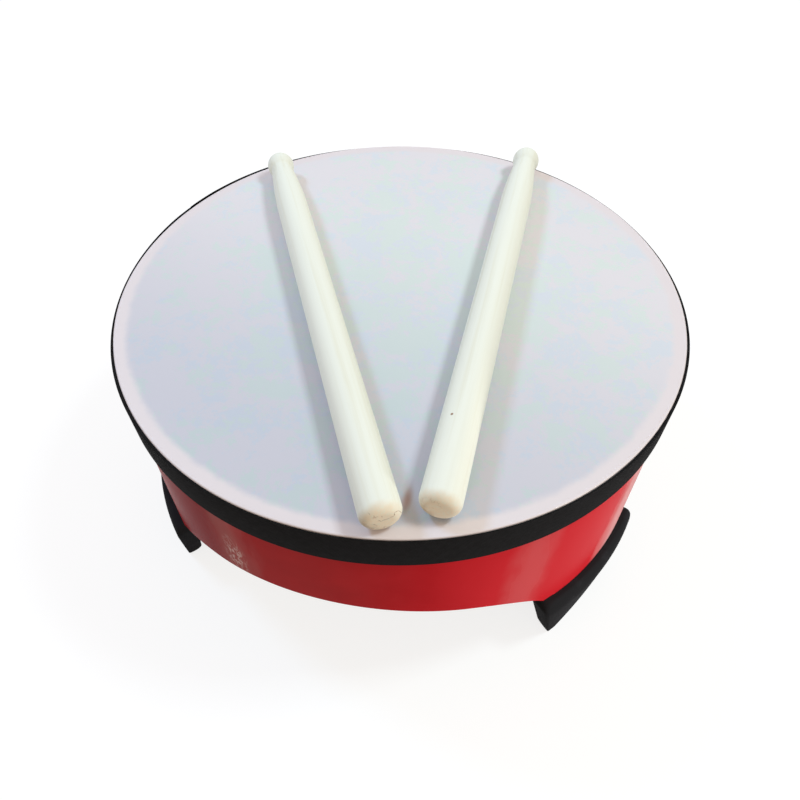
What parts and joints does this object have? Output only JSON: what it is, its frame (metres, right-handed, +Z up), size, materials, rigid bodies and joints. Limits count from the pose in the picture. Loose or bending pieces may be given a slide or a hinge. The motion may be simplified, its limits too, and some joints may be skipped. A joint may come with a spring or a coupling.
{
  "type": "floor drum",
  "caption": "Low round floor drum: arched red plywood shell on black feet, translucent head edged with black ribbon, loose wooden drumsticks lying on the head.",
  "frame": {"origin": "on the floor under the drum's axis", "axes": "+Z up along the drum's axis, -Y towards the player through the front arch, +X to the player's right"},
  "size_m": [0.254, 0.2578, 0.1428],
  "materials": {
    "red_lacquer": "glossy red lacquer over plywood",
    "bare_ply": "bare sanded plywood",
    "drum_skin": "pale translucent skin, faintly mottled, satin",
    "staple_wire": "flattened steel wire",
    "black_ribbon": "black woven ribbon, matte",
    "black_foot": "black moulded plastic, matte",
    "screw_steel": "zinc-plated steel",
    "stick_wood": "pale sanded wood, satin"
  },
  "bodies": {
    "drum": {"shell": "red_lacquer", "joint_strip": "bare_ply", "head": "drum_skin", "head_staples": "staple_wire", "rim_band": "black_ribbon", "foot_right": "black_foot", "foot_left": "black_foot", "foot_back": "black_foot", "foot_screws_right": "screw_steel", "foot_screws_left": "screw_steel", "foot_screws_back": "screw_steel"},
    "stick_left": {"stick_left": "stick_wood"},
    "stick_right": {"stick_right": "stick_wood"}
  },
  "joints": [
    {"name": "stick_left_lift", "type": "slide", "parent": "drum", "child": "stick_left", "axis": [0, 0, 1], "range_m": [0, 0.15]},
    {"name": "stick_right_lift", "type": "slide", "parent": "drum", "child": "stick_right", "axis": [0, 0, 1], "range_m": [0, 0.15]}
  ]
}
